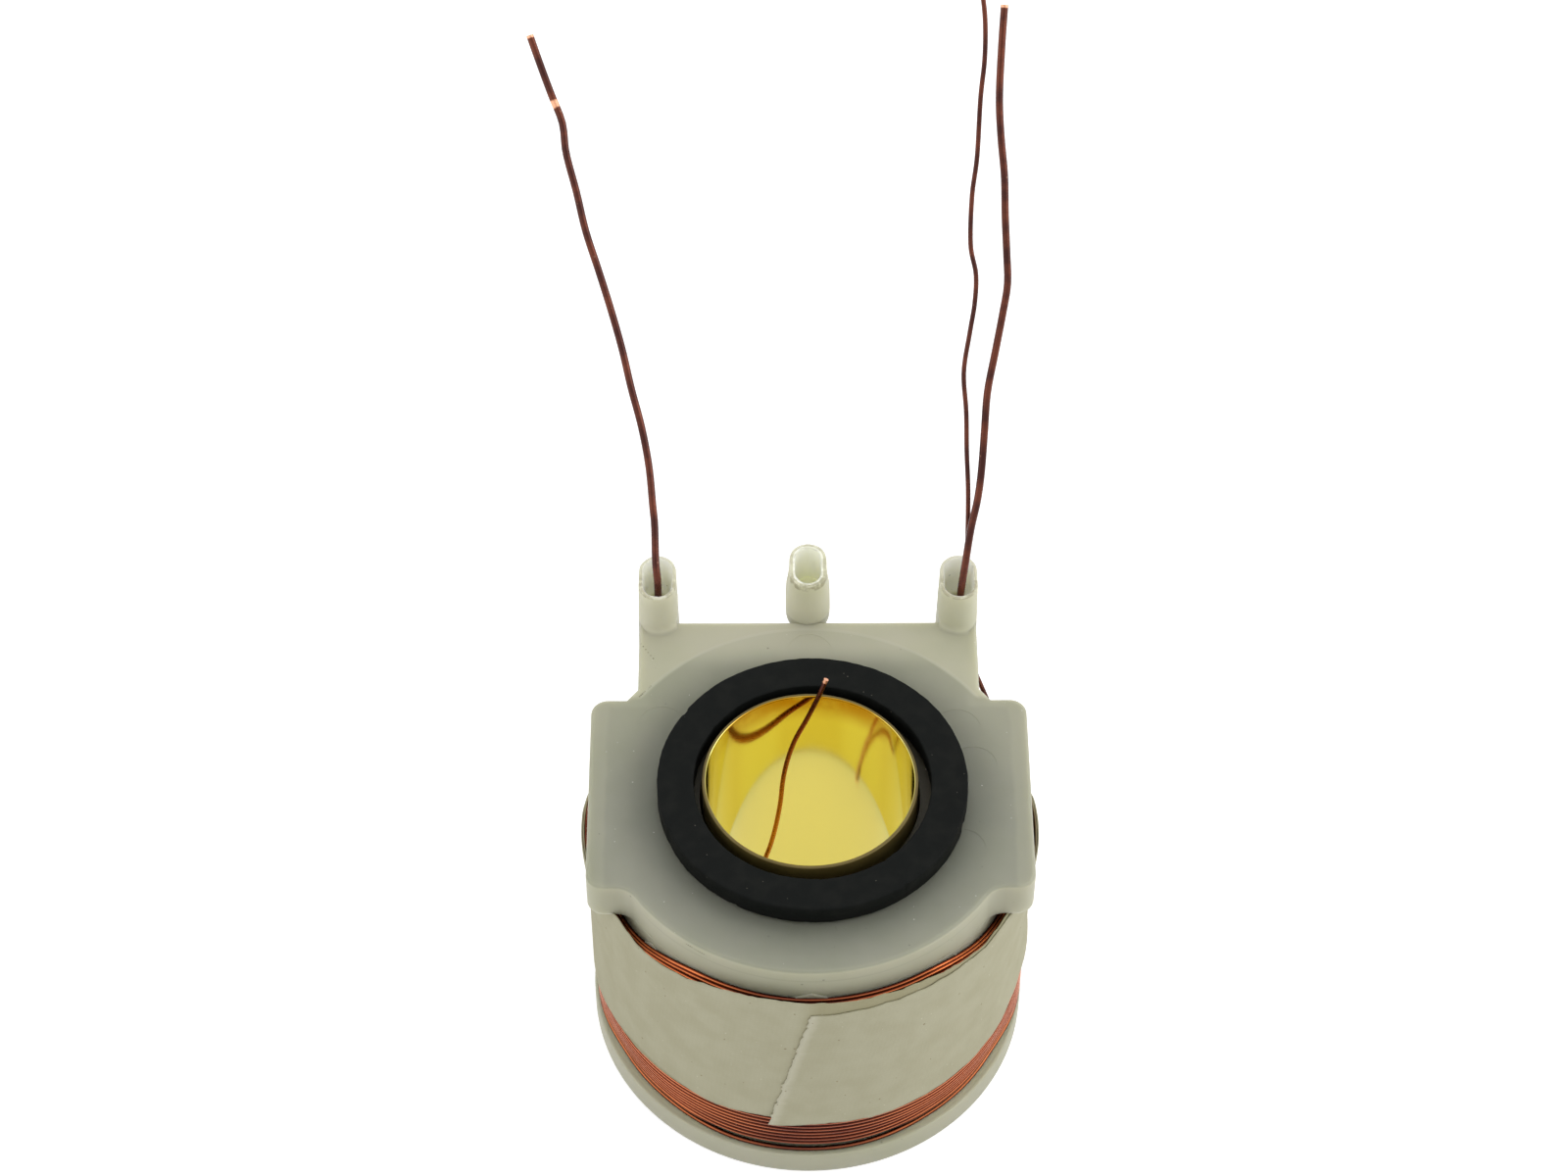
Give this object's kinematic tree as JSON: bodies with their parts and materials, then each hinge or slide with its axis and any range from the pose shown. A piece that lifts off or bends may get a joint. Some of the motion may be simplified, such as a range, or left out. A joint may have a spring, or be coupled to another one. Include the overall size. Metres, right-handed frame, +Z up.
{
  "type": "solenoid coil",
  "caption": "Solenoid coil: copper windings on a nylon bobbin with a brass plunger sleeve, a loose rubber ring, cloth tape, wire posts and bare-ended leads.",
  "frame": {"origin": "middle of the coil's footprint, without its leads, on the surface that it stands on", "axes": "+Z up along the bore, +Y towards the wire posts at the back, +X to the right seen from the front"},
  "size_m": [0.0552, 0.0944, 0.0928],
  "materials": {
    "nylon": "translucent natural nylon, satin",
    "brass": "polished",
    "rubber": "matte black",
    "copper": "enamelled copper turns, glossy",
    "cloth_tape": "off-white cloth tape, matte",
    "enamelled_wire": "enamelled copper, glossy"
  },
  "bodies": {
    "root": {"bobbin": "nylon", "brass_sleeve": "brass", "rubber_ring": "rubber", "pull_in_winding": "copper", "hold_in_winding": "copper", "tape_wrap": "cloth_tape", "left_thick_lead": "enamelled_wire", "right_thick_lead": "enamelled_wire", "right_thin_lead": "enamelled_wire", "bore_thin_lead": "enamelled_wire"}
  },
  "joints": []
}
